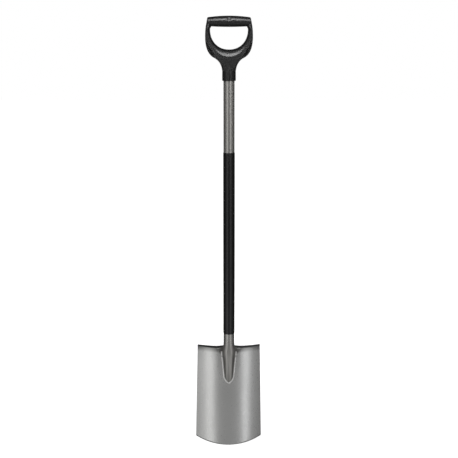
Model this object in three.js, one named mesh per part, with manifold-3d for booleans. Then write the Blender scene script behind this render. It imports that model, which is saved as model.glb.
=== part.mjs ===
// Garden spade, in millimetres, +Z up.
// A steel tube carries a D-shaped plastic handle at its top and a pressed steel blade at its foot.
// The tube's lower end is pressed into a spear that is welded to the blade's rounded back.
// The spade is laid out straight along Z, and bentAlongShaft() then gives the shaft its slight bend.
// The blade's rounded back faces -Y, and the hollow side that carries the soil faces +Y.
import * as THREE from 'three';
import { mergeVertices } from 'three/addons/utils/BufferGeometryUtils.js';
import Module from 'manifold-3d';

const wasm = await Module();
wasm.setup();

// ---- driving dimensions ----
const GAP = 0.35;                      // clearance between separate pieces

const TUBE_RADIUS = 15;
const TUBE_WALL = 1.6;
const ROUND_SIDES = 32;                // facets round the tube and what fits on it

const BEND_START = 542;                // height where the shaft's bend begins
const BEND_LENGTH = 120;
const LIFT_ANGLE = THREE.MathUtils.degToRad(5.5);

const BLADE_TOP = 295;                 // height of the treads
const BLADE_HALF_WIDTH_TOP = 91.5;     // measured along the blade's arc
const BLADE_HALF_WIDTH_FOOT = 98;
const BLADE_RADIUS = 182;              // of the blade's round back, seen from above
const BLADE_BACK = 10;                 // how far behind the tube's axis the blade's back lies
const BLADE_THICKNESS = 2;
const FOOT_ARC_RADIUS = 264;           // of the cutting edge
const EDGE_BEVEL = 5;                  // height of the ground bevel at the cutting edge
const EDGE_THICKNESS = 0.7;
const TREAD_EASE_RADIUS = 40;          // gentle curve at the plate's top, before the tread's tight bend
const TREAD_EASE_DEGREES = 18;
const TREAD_BEND_RADIUS = 4;
const TREAD_DEPTH_MIDDLE = 22;         // from the blade's back to the tread's free edge
const TREAD_DEPTH_CORNER = 11;
const SEAT_DEPTH = 3;                  // shallow channel pressed for the spear
const SEAT_HALF_WIDTH = 34;
const SEAT_FADE_START = 192;
const SEAT_FADE_END = 285;

const SPEAR_TIP = 193.5;
const SPEAR_WIDEST = 286;
const SPEAR_HALF_WIDTH = 17.6;         // at its widest
const SPEAR_NOSE_HALF_WIDTH = 9.4;     // where its straight sides would meet the tip
const SPEAR_NOSE_LENGTH = 17;
const SPEAR_NOSE_POWER = 1.45;         // 2 would be a round nose, 1 a straight-sided point
const SPEAR_THICKNESS = 4.2;           // at the tip
const SPEAR_START = 322;               // where the pressing begins
const SPEAR_SLOPE_POWER = 2.1;         // above 1, the spear keeps its height longer
const SPEAR_CAVITY_END = 224;
const GROOVE_DEPTH = 2.4;              // pressed along the spear's middle
const GROOVE_HALF_WIDTH = 4;

const WELD_RADIUS = 1.9;
const TOE_WELD_TOP = 271.4;
const HEEL_WELD_BOTTOM = 272;
const HEEL_WELD_TOP = 286;

const SLEEVE_BOTTOM = 345;
const SLEEVE_TOP = 843.5;
const SLEEVE_WALL = 0.6;
const SLEEVE_CHAMFER = 3;
const SLEEVE_CLEARANCE = 0.05;

const COLLAR_BOTTOM = 1032.5;
const COLLAR_RADIUS = 18.1;
const COLLAR_LIP = 2;
const SOCKET_DEPTH = 56;
const SOCKET_CLEARANCE = 0.2;
const TUBE_TOP = COLLAR_BOTTOM + SOCKET_DEPTH - 1;

const COLLAR_TAPER_START = 22;         // where the collar begins to narrow into the web
const COLLAR_TAPER_END = 60;
const COLLAR_END_RADIUS = 15;
const GRIP_HEIGHT = 153;               // of the grip's axis above the collar's lower edge
const GRIP_HALF_LENGTH = 58.6;
const GRIP_RADIUS_MIDDLE = 14.4;
const GRIP_RADIUS_END = 11.6;
const GRIP_END_ROUNDING = 2.5;
const GRIP_BOW = 1;                    // rise of the grip's middle over its ends
const GRIP_END_SLANT = 0.0032;         // narrowing of the grip's length, per mm of height
const GRIP_CORE_RADIUS = 8;
const GRIP_CORE_HALF_LENGTH = 53;
const HAND_HALF_WIDTH = 49.5;          // of the opening for the hand
const HAND_ARC_HEIGHT = 134;           // where the opening's sides turn into its lower arc
const HAND_ARC_DROP = 52.4;
const HANDLE_DEPTH = 22.4;
const HANDLE_BEVEL_DEPTH = 5;
const HANDLE_BEVEL_WIDTH = 3;
const ARM_TOP = 149;                   // the arms end inside the grip
const ARM_TOP_DEPTH_SHARE = 0.875;
const WEB_DEPTH_SHARE = 1.52;          // of the web under the opening, against the arms
const WEB_FADE_ANGLE = THREE.MathUtils.degToRad(65);
const WEB_FOOT_SHARE = 0.5;            // of the web's foot, where it meets the collar
const WEB_FOOT_TOP = 46;

// The right half of the handle's outline: cubic curves of [x, height] points, each starting where
// the last one ends.
const COLLAR_JOIN = [18, 24];
const WEB_CURVE = [[18, 42], [28, 54], [37.5, 59]];
const SHOULDER_CURVE = [[53, 66], [62.6, 83], [62.5, 112]];
const ARM_CURVE = [[62.7, 122.8], [61.9, 133.2], [60.75, 142.2]];
const ARM_TOP_CORNERS = [[54, ARM_TOP], [47, ARM_TOP], [47, 141.5], [HAND_HALF_WIDTH, 135.5]];

const SCREW_HEIGHT = 18;               // above the collar's lower edge
const SCREW_HEAD_RADIUS = 4.2;
const SCREW_HEAD_DEPTH = 2;
const SCREW_HEAD_CHAMFER = 1.2;
const SCREW_SHANK_RADIUS = 1.9;
const SCREW_LENGTH = 11;
const SCREW_POINT = 2;

// ---- materials ----
function finish(color, roughness, metalness) {
  return new THREE.MeshStandardMaterial({ color, roughness, metalness });
}

const paintedSteel = finish(0x8d8b87, 0.42, 0.6);
const brushedSteel = finish(0xa3a3a3, 0.38, 0.9);
const weldSteel = finish(0xb0afab, 0.45, 0.9);
const blackSleeve = finish(0x1b1b1c, 0.5, 0);
const blackPlastic = finish(0x161617, 0.42, 0);
const softBlack = finish(0x1d1d1e, 0.55, 0);
const zincSteel = finish(0xb9b9b6, 0.35, 1);

// ---- helpers ----
const { clamp, lerp, smoothstep } = THREE.MathUtils;

// Shared vertices merged and collapsed triangles dropped, so that a closed surface is a solid.
function solid(geometry) {
  geometry.deleteAttribute('normal');
  geometry.deleteAttribute('uv');
  const merged = mergeVertices(geometry, 1e-4);
  const kept = [];
  for (let i = 0; i < merged.index.count; i += 3) {
    const [a, b, c] = [0, 1, 2].map((k) => merged.index.getX(i + k));
    if (a !== b && b !== c && c !== a) kept.push(a, b, c);
  }
  merged.setIndex(kept);
  return merged;
}

// Moves every vertex of a solid by place(x, y, z), which returns [x, y, z].
function shaped(geometry, place) {
  const body = solid(geometry);
  const position = body.attributes.position;
  for (let i = 0; i < position.count; i += 1) {
    position.setXYZ(i, ...place(position.getX(i), position.getY(i), position.getZ(i)));
  }
  return body;
}

function toManifold(geometry) {
  const body = solid(geometry.clone());
  return new wasm.Manifold(new wasm.Mesh({
    numProp: 3,
    vertProperties: new Float32Array(body.attributes.position.array),
    triVerts: new Uint32Array(body.index.array),
  }));
}

function fromManifold(manifold) {
  const mesh = manifold.getMesh();
  const geometry = new THREE.BufferGeometry();
  geometry.setAttribute('position', new THREE.BufferAttribute(mesh.vertProperties, 3));
  geometry.setIndex(new THREE.BufferAttribute(mesh.triVerts, 1));
  return geometry;
}

// A body of revolution about Z, from [radius, height] pairs.
function turned(profile, sides = ROUND_SIDES) {
  const points = profile.map(([radius, height]) => new THREE.Vector2(radius, height));
  return new THREE.LatheGeometry(points, sides).rotateX(Math.PI / 2);
}

function evenly(from, to, steps) {
  return Array.from({ length: steps + 1 }, (_, i) => lerp(from, to, i / steps));
}

// The shaft runs straight down to BEND_START, then leans towards +Y over BEND_LENGTH.
function bentAlongShaft(geometry) {
  const radius = BEND_LENGTH / LIFT_ANGLE;
  return shaped(geometry, (x, y, z) => {
    const below = BEND_START - z;
    if (below <= 0) return [x, y, z];
    const angle = LIFT_ANGLE * Math.min(below / BEND_LENGTH, 1);
    const beyond = Math.max(below - BEND_LENGTH, 0);
    const axisY = radius * (1 - Math.cos(angle)) + beyond * Math.sin(angle);
    const axisZ = BEND_START - radius * Math.sin(angle) - beyond * Math.cos(angle);
    return [x, axisY + y * Math.cos(angle), axisZ + y * Math.sin(angle)];
  });
}

// ---- blade ----
function seatDepth(x, z) {
  const across = Math.cos(clamp(x / SEAT_HALF_WIDTH, -1, 1) * Math.PI / 2) ** 2;
  return SEAT_DEPTH * across * smoothstep(z, SEAT_FADE_START, SEAT_FADE_END);
}

function bladeBackY(x, z) {
  const arc = BLADE_RADIUS - Math.sqrt(BLADE_RADIUS ** 2 - x ** 2);
  return BLADE_BACK + arc + seatDepth(x, z);
}

function footHeight(x) {
  return FOOT_ARC_RADIUS - Math.sqrt(FOOT_ARC_RADIUS ** 2 - x ** 2);
}

// The tread's bend: how far back and up the sheet's convex side has gone once it has turned by angle.
function treadBend(angle) {
  const easeAngle = THREE.MathUtils.degToRad(TREAD_EASE_DEGREES);
  const eased = Math.min(angle, easeAngle);
  const easedBack = TREAD_EASE_RADIUS * (1 - Math.cos(eased));
  const easedUp = TREAD_EASE_RADIUS * Math.sin(eased);
  return {
    back: easedBack + TREAD_BEND_RADIUS * (Math.cos(eased) - Math.cos(angle)),
    up: easedUp + TREAD_BEND_RADIUS * (Math.sin(angle) - Math.sin(eased)),
  };
}

// Rows of the blade's mesh, from the cutting edge up its back and over the tread's bend.
const BLADE_COLUMNS = 40;
const PLATE_ROWS = 9;
const BEND_TURNS = [9, TREAD_EASE_DEGREES, 42, 66, 90];
const BLADE_ROWS = 1 + PLATE_ROWS + BEND_TURNS.length + 1;

// across is -1 to 1, row counts up from the cutting edge, and depth is 0 on the back face
// and the sheet's thickness on the front face.
function bladePoint(across, row, depth) {
  const fullBend = treadBend(Math.PI / 2);
  const plateShare = clamp((row - 1) / PLATE_ROWS, 0, 1);
  const halfWidth = lerp(BLADE_HALF_WIDTH_FOOT, BLADE_HALF_WIDTH_TOP, plateShare);
  const around = across * halfWidth / BLADE_RADIUS;
  const outlineX = BLADE_RADIUS * Math.sin(around);
  const foot = footHeight(outlineX);
  const height = row === 0 ? foot : lerp(foot + EDGE_BEVEL, BLADE_TOP - fullBend.up, plateShare);
  const bendRow = Math.min(row - 1 - PLATE_ROWS, BEND_TURNS.length);
  const turn = bendRow > 0 ? THREE.MathUtils.degToRad(BEND_TURNS[bendRow - 1]) : 0;
  const { back, up } = treadBend(turn);
  const treadDepth = lerp(TREAD_DEPTH_MIDDLE, TREAD_DEPTH_CORNER, Math.abs(across));
  const flat = row === BLADE_ROWS ? treadDepth - fullBend.back : 0;
  const radial = BLADE_RADIUS - depth * Math.cos(turn);
  const y = BLADE_BACK + BLADE_RADIUS - radial * Math.cos(around) + back + flat;
  return [
    radial * Math.sin(around),
    y + seatDepth(outlineX, height + up),
    height + up - depth * Math.sin(turn),
  ];
}

function blade() {
  const sheet = new THREE.BoxGeometry(2, 1, BLADE_ROWS, BLADE_COLUMNS, 1, BLADE_ROWS);
  return shaped(sheet, (x, y, z) => {
    const row = Math.round(z + BLADE_ROWS / 2);
    const backFace = y < 0;
    const ground = row === 0 ? BLADE_THICKNESS - EDGE_THICKNESS : 0;
    return bladePoint(x, row, backFace ? ground : BLADE_THICKNESS);
  });
}

// ---- shaft tube with its pressed spear ----
function spearHalfWidth(z) {
  const above = Math.max(z - SPEAR_TIP, 0);
  const straight = lerp(SPEAR_NOSE_HALF_WIDTH, SPEAR_HALF_WIDTH, above / (SPEAR_WIDEST - SPEAR_TIP));
  const nose = 1 - Math.min(above / SPEAR_NOSE_LENGTH, 1);
  if (z < SPEAR_WIDEST) return straight * (1 - nose ** SPEAR_NOSE_POWER) ** (1 / SPEAR_NOSE_POWER);
  return lerp(SPEAR_HALF_WIDTH, TUBE_RADIUS, smoothstep(z, SPEAR_WIDEST, SPEAR_START));
}

// The spear's far side lies on the blade and its near side slopes down to it.
function spearPoint(x, y, z) {
  const angle = Math.atan2(x, -y);
  const inset = TUBE_RADIUS - Math.hypot(x, y);
  const onAxis = inset > TUBE_RADIUS - 0.01;
  const seated = 1 - smoothstep(z, BLADE_TOP, SLEEVE_BOTTOM);
  const far = lerp(TUBE_RADIUS, bladeBackY(0, Math.min(z, BLADE_TOP)) - GAP, seated);
  const along = clamp((SPEAR_START - z) / (SPEAR_START - SPEAR_TIP), 0, 1);
  const near = lerp(-TUBE_RADIUS, far - SPEAR_THICKNESS, along ** SPEAR_SLOPE_POWER);
  const middle = (far + near) / 2;
  if (onAxis) return [0, middle, z];
  const newX = (spearHalfWidth(z) - inset) * Math.sin(angle);
  const newY = middle - ((far - near) / 2 - inset) * Math.cos(angle);
  const nearSide = Math.sqrt(Math.max(Math.cos(angle), 0));
  const pressed = GROOVE_DEPTH * Math.sin(along * Math.PI / 2) * Math.min(along * 3, 1);
  const groove = pressed * Math.exp(-((newX / GROOVE_HALF_WIDTH) ** 2));
  return [newX, newY + groove * nearSide, z];
}

function shaftTube() {
  const inner = TUBE_RADIUS - TUBE_WALL;
  const nose = [12, 30, 50, 70].map((degrees) => {
    const rise = 1 - Math.cos(THREE.MathUtils.degToRad(degrees));
    return SPEAR_TIP + SPEAR_NOSE_LENGTH * rise;
  });
  const spear = evenly(SPEAR_TIP + SPEAR_NOSE_LENGTH, SPEAR_START, 9);
  const bend = evenly(BEND_START - BEND_LENGTH, BEND_START, 5);
  const outerHeights = [...nose, ...spear, SLEEVE_BOTTOM, ...bend, TUBE_TOP];
  const innerHeights = outerHeights.filter((z) => z > SPEAR_CAVITY_END + 4).reverse();
  const profile = [
    [0, SPEAR_TIP],
    ...outerHeights.map((z) => [TUBE_RADIUS, z]),
    ...innerHeights.map((z) => [inner, z]),
    [0, SPEAR_CAVITY_END],
  ];
  const pressed = shaped(turned(profile), (x, y, z) => {
    return z < SLEEVE_BOTTOM ? spearPoint(x, y, z) : [x, y, z];
  });
  return fromManifold(toManifold(pressed).subtract(screwHole(SCREW_SHANK_RADIUS + GAP)));
}

// ---- weld beads round the spear ----
// A bead of round section follows the spear's outline on the blade's back.
// path(t), with t from 0 to 1, gives the outline's point as [x, z] and its outward direction.
function weldBead(path, steps) {
  const rod = new THREE.CylinderGeometry(WELD_RADIUS, WELD_RADIUS, 1, 8, steps);
  return shaped(rod, (a, t, b) => {
    const { point, out } = path(t + 0.5);
    const aside = GAP + WELD_RADIUS + a;
    const x = point[0] + out[0] * aside;
    const z = point[1] + out[1] * aside;
    return [x, bladeBackY(x, z) - GAP - WELD_RADIUS - b, z];
  });
}

// The outline from the left heel round the tip to the right heel.
function toePath(t) {
  const side = t * 2 - 1;
  const noseShare = 0.35;
  const turn = Math.min(Math.abs(side) / noseShare, 1) * Math.PI / 2;
  const rise = SPEAR_NOSE_LENGTH * (1 - Math.cos(turn));
  const straight = clamp((Math.abs(side) - noseShare) / (1 - noseShare), 0, 1);
  const z = lerp(SPEAR_TIP + rise, TOE_WELD_TOP, straight);
  return {
    point: [Math.sign(side) * spearHalfWidth(z), z],
    out: [Math.sign(side) * Math.sin(turn), -Math.cos(turn)],
  };
}

function heelPath(side) {
  return (t) => {
    const z = lerp(HEEL_WELD_BOTTOM, HEEL_WELD_TOP, side > 0 ? t : 1 - t);
    return { point: [side * spearHalfWidth(z), z], out: [side, 0] };
  };
}

// ---- sleeve on the shaft ----
function shaftSleeve() {
  const inner = TUBE_RADIUS + SLEEVE_CLEARANCE;
  const outer = inner + SLEEVE_WALL;
  const bend = evenly(BEND_START - BEND_LENGTH, BEND_START, 5);
  const heights = [SLEEVE_BOTTOM + SLEEVE_CHAMFER, ...bend, SLEEVE_TOP];
  return turned([
    [inner, SLEEVE_BOTTOM],
    [inner + SLEEVE_WALL / 3, SLEEVE_BOTTOM],
    ...heights.map((z) => [outer, z]),
    ...heights.toReversed().map((z) => [inner, z]),
    [inner, SLEEVE_BOTTOM],
  ]);
}

// ---- handle ----
// Adds a cubic curve to the outline; side is 1 on the right and -1 on the left.
function addCurve(shape, side, [first, second, end]) {
  shape.bezierCurveTo(side * first[0], first[1], side * second[0], second[1], side * end[0], end[1]);
}

// The same curve run backwards from its end to start.
function reversedCurve([first, second], start) {
  return [second, first, start];
}

// The handle's outline, with its origin at the middle of the collar's lower edge.
function handleOutline() {
  const shape = new THREE.Shape();
  shape.moveTo(...COLLAR_JOIN);
  for (const curve of [WEB_CURVE, SHOULDER_CURVE, ARM_CURVE]) addCurve(shape, 1, curve);
  for (const [x, height] of ARM_TOP_CORNERS) shape.lineTo(x, height);
  shape.lineTo(HAND_HALF_WIDTH, HAND_ARC_HEIGHT);
  shape.absellipse(0, HAND_ARC_HEIGHT, HAND_HALF_WIDTH, HAND_ARC_DROP, 0, Math.PI, true);
  for (const [x, height] of ARM_TOP_CORNERS.toReversed()) shape.lineTo(-x, height);
  shape.lineTo(-ARM_CURVE[2][0], ARM_CURVE[2][1]);
  addCurve(shape, -1, reversedCurve(ARM_CURVE, SHOULDER_CURVE[2]));
  addCurve(shape, -1, reversedCurve(SHOULDER_CURVE, WEB_CURVE[2]));
  addCurve(shape, -1, reversedCurve(WEB_CURVE, COLLAR_JOIN));
  return shape;
}

// The frame's depth at a point, against the arms' depth: thick at the web, thin at the arms' tops.
function depthShare(x, height) {
  if (height > HAND_ARC_HEIGHT) {
    return lerp(1, ARM_TOP_DEPTH_SHARE, (height - HAND_ARC_HEIGHT) / (ARM_TOP - HAND_ARC_HEIGHT));
  }
  const fromDown = Math.atan2(Math.abs(x), HAND_ARC_HEIGHT - height);
  const full = lerp(WEB_DEPTH_SHARE, 1, smoothstep(fromDown, 0, WEB_FADE_ANGLE));
  return lerp(WEB_FOOT_SHARE, full, smoothstep(height, COLLAR_JOIN[1], WEB_FOOT_TOP));
}

// The web and arms, with every face moved out by grow.
function handleFrame(grow = 0) {
  const frame = new THREE.ExtrudeGeometry(handleOutline(), {
    depth: HANDLE_DEPTH + 2 * grow - 2 * HANDLE_BEVEL_DEPTH,
    bevelThickness: HANDLE_BEVEL_DEPTH,
    bevelSize: HANDLE_BEVEL_WIDTH,
    bevelOffset: grow - HANDLE_BEVEL_WIDTH,
    bevelSegments: 3,
    curveSegments: 12,
  });
  frame.translate(0, 0, HANDLE_BEVEL_DEPTH - HANDLE_DEPTH / 2 - grow);
  frame.rotateX(Math.PI / 2);
  return shaped(frame, (x, y, z) => [x, y * depthShare(x, z), z]).translate(0, 0, COLLAR_BOTTOM);
}

// The rod between the arms that the grip is moulded over.
function handleCore(grow = 0) {
  const radius = GRIP_CORE_RADIUS + grow;
  const length = 2 * (GRIP_CORE_HALF_LENGTH + grow);
  return new THREE.CylinderGeometry(radius, radius, length, 24)
    .rotateZ(Math.PI / 2)
    .translate(0, 0, COLLAR_BOTTOM + GRIP_HEIGHT);
}

function handleCollar() {
  return turned([
    [0, 0],
    [COLLAR_RADIUS - COLLAR_LIP, 0],
    [COLLAR_RADIUS, COLLAR_LIP],
    [COLLAR_RADIUS, COLLAR_TAPER_START],
    [COLLAR_END_RADIUS, COLLAR_TAPER_END],
    [0, COLLAR_TAPER_END],
  ]).translate(0, 0, COLLAR_BOTTOM);
}

function handleSocket() {
  const radius = TUBE_RADIUS + SOCKET_CLEARANCE;
  return turned([[0, -1], [radius, -1], [radius, SOCKET_DEPTH], [0, SOCKET_DEPTH]])
    .translate(0, 0, COLLAR_BOTTOM);
}

function handleBody() {
  const body = toManifold(handleFrame())
    .add(toManifold(handleCollar()))
    .add(toManifold(handleCore()))
    .subtract(toManifold(handleSocket()))
    .subtract(screwHole(SCREW_SHANK_RADIUS + GAP))
    .subtract(screwHeadRecess());
  return fromManifold(body);
}

// The grip's barrel before its inside is cleared: bowed upwards, its ends cut to the arms' slope.
function gripBarrel() {
  const rounded = GRIP_HALF_LENGTH - GRIP_END_ROUNDING;
  const end = [0, 30, 60].map((degrees) => {
    const turn = THREE.MathUtils.degToRad(degrees);
    const radius = GRIP_RADIUS_END - GRIP_END_ROUNDING * (1 - Math.sin(turn));
    return [radius, GRIP_END_ROUNDING * (1 - Math.cos(turn)) - GRIP_HALF_LENGTH];
  });
  const barrel = evenly(-rounded, rounded, 12).map((along) => {
    const swell = 1 - (along / rounded) ** 2;
    return [lerp(GRIP_RADIUS_END, GRIP_RADIUS_MIDDLE, swell), along];
  });
  const farEnd = end.toReversed().map(([radius, along]) => [radius, -along]);
  const profile = [[0, -GRIP_HALF_LENGTH], ...end, ...barrel, ...farEnd, [0, GRIP_HALF_LENGTH]];
  const bowed = shaped(turned(profile, 24).rotateY(Math.PI / 2), (x, y, z) => {
    const bow = GRIP_BOW * (1 - (x / GRIP_HALF_LENGTH) ** 2);
    return [x * (1 - GRIP_END_SLANT * z), y, z + bow];
  });
  return bowed.translate(0, 0, COLLAR_BOTTOM + GRIP_HEIGHT);
}

function gripOvermould() {
  return fromManifold(toManifold(gripBarrel())
    .subtract(toManifold(handleFrame(GAP)))
    .subtract(toManifold(handleCore(GAP))));
}

// ---- handle screw ----
// The screw lies along Y on the back of the collar, with its head towards +Y.
const SCREW_FACE = COLLAR_RADIUS + 0.2;

function alongScrew(geometry) {
  return geometry.rotateX(-Math.PI / 2).translate(0, SCREW_FACE, COLLAR_BOTTOM + SCREW_HEIGHT);
}

function screwHole(radius) {
  return toManifold(alongScrew(turned([[0, -14], [radius, -14], [radius, 2], [0, 2]], 16)));
}

function screwHeadRecess() {
  const radius = SCREW_HEAD_RADIUS + GAP;
  const floor = -SCREW_HEAD_DEPTH - GAP;
  return toManifold(alongScrew(turned([[0, floor], [radius, floor], [radius, 4], [0, 4]], 24)));
}

function handleScrew() {
  return alongScrew(turned([
    [0, -SCREW_LENGTH],
    [SCREW_SHANK_RADIUS, SCREW_POINT - SCREW_LENGTH],
    [SCREW_SHANK_RADIUS, -SCREW_HEAD_DEPTH],
    [SCREW_HEAD_RADIUS, -SCREW_HEAD_DEPTH],
    [SCREW_HEAD_RADIUS, -SCREW_HEAD_CHAMFER],
    [SCREW_HEAD_RADIUS - SCREW_HEAD_CHAMFER, 0],
    [0, 0],
  ], 16));
}

// ---- assembly ----
const spade = new THREE.Group();

function addPiece(name, geometry, material) {
  const piece = new THREE.Mesh(geometry, material);
  piece.name = name;
  spade.add(piece);
}

addPiece('blade', bentAlongShaft(blade()), brushedSteel);
addPiece('shaft_tube', bentAlongShaft(shaftTube()), paintedSteel);
addPiece('toe_weld', bentAlongShaft(weldBead(toePath, 40)), weldSteel);
addPiece('left_heel_weld', bentAlongShaft(weldBead(heelPath(-1), 4)), weldSteel);
addPiece('right_heel_weld', bentAlongShaft(weldBead(heelPath(1), 4)), weldSteel);
addPiece('shaft_sleeve', bentAlongShaft(shaftSleeve()), blackSleeve);
addPiece('handle_body', handleBody(), blackPlastic);
addPiece('grip_overmould', gripOvermould(), softBlack);
addPiece('handle_screw', solid(handleScrew()), zincSteel);

// The origin is under the middle of the whole spade, at the height of its cutting edge.
const bounds = new THREE.Box3().setFromObject(spade);
const middle = bounds.getCenter(new THREE.Vector3());
spade.position.set(-middle.x, -middle.y, -bounds.min.z);

export default spade;
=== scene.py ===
# Garden spade: the visible pieces, their materials, soft studio light and the camera.
# Lengths are in millimetres in the layout of the straight shaft; in_frame() bends that layout
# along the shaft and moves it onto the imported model, in metres.
import math

import bmesh
import bpy
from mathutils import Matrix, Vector, noise


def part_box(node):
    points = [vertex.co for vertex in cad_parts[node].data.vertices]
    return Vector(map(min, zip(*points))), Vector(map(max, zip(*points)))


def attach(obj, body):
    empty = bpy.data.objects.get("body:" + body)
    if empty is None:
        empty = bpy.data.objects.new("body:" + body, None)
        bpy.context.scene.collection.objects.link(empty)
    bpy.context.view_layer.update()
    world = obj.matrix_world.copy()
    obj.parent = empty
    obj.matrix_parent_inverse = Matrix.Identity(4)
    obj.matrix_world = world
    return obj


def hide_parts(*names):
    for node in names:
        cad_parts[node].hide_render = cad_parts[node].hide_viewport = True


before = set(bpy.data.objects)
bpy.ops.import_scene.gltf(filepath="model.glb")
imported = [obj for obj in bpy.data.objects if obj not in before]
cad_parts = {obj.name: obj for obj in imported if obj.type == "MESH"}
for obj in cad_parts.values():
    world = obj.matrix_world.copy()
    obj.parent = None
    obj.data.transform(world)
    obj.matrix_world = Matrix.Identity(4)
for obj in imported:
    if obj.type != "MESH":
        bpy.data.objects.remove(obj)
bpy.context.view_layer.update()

MM = 0.001

# ---- layout of the straight spade, in millimetres above its cutting edge ----
TUBE_RADIUS = 15.0
TUBE_WALL = 1.6
BEND_START = 542.0
BEND_LENGTH = 120.0
LIFT_ANGLE = math.radians(5.5)

BLADE_TOP = 295.0
BLADE_HALF_WIDTH_TOP = 91.5
BLADE_HALF_WIDTH_FOOT = 98.0
BLADE_RADIUS = 182.0
BLADE_BACK = 10.0
BLADE_THICKNESS = 2.0
FOOT_ARC_RADIUS = 264.0
EDGE_BEVEL = 2.6
EDGE_THICKNESS = 0.7
RIM_ROUNDING = 0.28
WAVE_DEPTH = 0.25
WAVE_LENGTHS = (45.0, 70.0)
TREAD_EASE_RADIUS = 40.0
TREAD_EASE_ANGLE = math.radians(18)
TREAD_BEND_RADIUS = 4.0
TREAD_DEPTH_MIDDLE = 22.0
TREAD_DEPTH_CORNER = 11.0
SEAT_DEPTH = 3.0
SEAT_HALF_WIDTH = 34.0
SEAT_FADE = (192.0, 285.0)
HEEL_POCKET_DEPTH = 2.5
HEEL_POCKET_HALF_WIDTH = 32.0
HEEL_POCKET_FADE = (282.0, 292.0)

SPEAR_TIP = 193.5
SPEAR_WIDEST = 286.0
SPEAR_HALF_WIDTH = 17.6
SPEAR_NOSE_HALF_WIDTH = 9.4
SPEAR_NOSE_LENGTH = 17.0
SPEAR_NOSE_POWER = 1.45  # 2 would be a round nose, 1 a straight-sided point
SPEAR_THICKNESS = 4.2
SPEAR_START = 322.0
SPEAR_SLOPE_POWER = 2.1  # above 1, the spear keeps its full depth further down
SPEAR_CAVITY_END = 224.0
GROOVE_DEPTH = 2.4
GROOVE_HALF_WIDTH = 3.4
SPEAR_LIFT = 0.2

WELD_RADIUS = 2.4
TOE_WELD_TOP = 271.4
HEEL_WELD_SPAN = (272.0, 286.0)
TOE_NOSE_SHARE = 0.35  # share of the toe bead's rings that go round the spear's nose
# As shares of the bead's radius: how far outside the spear its middle lies, its half width,
# its half height, and how far its middle stands off the blade.
BEAD_OFFSET = 0.8
BEAD_WIDTH = 1.35
BEAD_HEIGHT = 0.8
BEAD_LIFT = 0.25
HEAT_REACH = 26.0
# Reach of the painted shadow along the toe bead, and reach and place of the painted shade beside the
# heel welds.
TOE_SHADOW_REACH = 6.5
HEEL_SHADE_REACH = 8.0
HEEL_SHADE_ASIDE = 5.0
HEEL_SHADE_RISE = 12.0

SLEEVE_BOTTOM = 345.0
SLEEVE_TOP = 843.5
SLEEVE_WALL = 0.65
SLEEVE_CHAMFER = 3.0
SLEEVE_CLEARANCE = 0.05
SLEEVE_LIP = 0.3

COLLAR_BOTTOM = 1032.5
COLLAR_RADIUS = 18.1
SOCKET_DEPTH = 56.0
SOCKET_CLEARANCE = 0.2
GRIP_HEIGHT = 153.0
GRIP_HALF_LENGTH = 58.6
GRIP_RADIUS_MIDDLE = 14.4
GRIP_RADIUS_END = 11.6
GRIP_END_ROUNDING = 2.5
GRIP_BOW = 1.0
GRIP_END_SLANT = 0.0032
GRIP_CORE_RADIUS = 8.0
GRIP_CORE_HALF_LENGTH = 53.0
GRIP_CORE_CLEARANCE = 0.3
DIMPLE_TURN = math.radians(160)  # about the grip from +Y over the top: 20 degrees above level, in front
DIMPLE_DEPTH = 1.4
DIMPLE_SPREAD = 3.0
HAND_HALF_WIDTH = 49.5
HAND_ARC_HEIGHT = 134.0
HAND_ARC_DROP = 52.4
HAND_ARC_POWER = 2.15  # 2 would be an ellipse
HANDLE_HALF_DEPTH = 11.2
WEB_HALF_DEPTH = 17.0
WEB_FADE_ANGLE = math.radians(65)
ARM_SCOOP = 6.0
WEB_SCOOP = 19.0
SCOOP_FADE_ANGLE = math.radians(66)
SCOOP_TURN = math.radians(74)
EDGE_ROUNDING = 4.0
COLLAR_CUT = 24.0
COLLAR_FLARE = 0.55
ARM_TOP = 149.0
ARM_TOP_HALF_DEPTH = 9.8
ARM_INNER_INSET = 3.0
ARM_INNER_INSET_END = 141.5
ARM_OUTER_INSET = 5.5
ARM_OUTER_INSET_START = 143.0
SCREW_HEIGHT = 18.0
SCREW_FACE = COLLAR_RADIUS + 0.2
SCREW_HEAD_RADIUS = 4.2
SCREW_SHANK_RADIUS = 1.9
SCREW_SLOT_HALF_LENGTH = 2.6
SCREW_SLOT_HALF_WIDTH = 0.5

# ---- brightness of the room, as a share of the white seen by the camera ----
ROOM_FRONT = 0.36
ROOM_SIDE = 0.07
ROOM_LEVEL_SHARE = 0.6

handle_low, handle_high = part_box("handle_body")
SHAFT_Y = (handle_low.y + handle_high.y) / 2
HEIGHT_SHIFT = handle_low.z - COLLAR_BOTTOM * MM


# ---- placing ----
def lerp(a, b, t):
    return a + (b - a) * t


def clamp(value, low=0.0, high=1.0):
    return max(low, min(high, value))


def smoothstep(value, low, high):
    t = clamp((value - low) / (high - low))
    return t * t * (3 - 2 * t)


def evenly(start, end, steps):
    return [lerp(start, end, i / steps) for i in range(steps + 1)]


def in_frame(x, y, z):
    """A point of the straight layout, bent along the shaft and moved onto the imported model."""
    below = BEND_START - z
    if below > 0:
        radius = BEND_LENGTH / LIFT_ANGLE
        angle = LIFT_ANGLE * min(below / BEND_LENGTH, 1)
        beyond = max(below - BEND_LENGTH, 0)
        axis_y = radius * (1 - math.cos(angle)) + beyond * math.sin(angle)
        axis_z = BEND_START - radius * math.sin(angle) - beyond * math.cos(angle)
        y, z = axis_y + y * math.cos(angle), axis_z + y * math.sin(angle)
    return Vector((x * MM, y * MM + SHAFT_Y, z * MM + HEIGHT_SHIFT))


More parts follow.
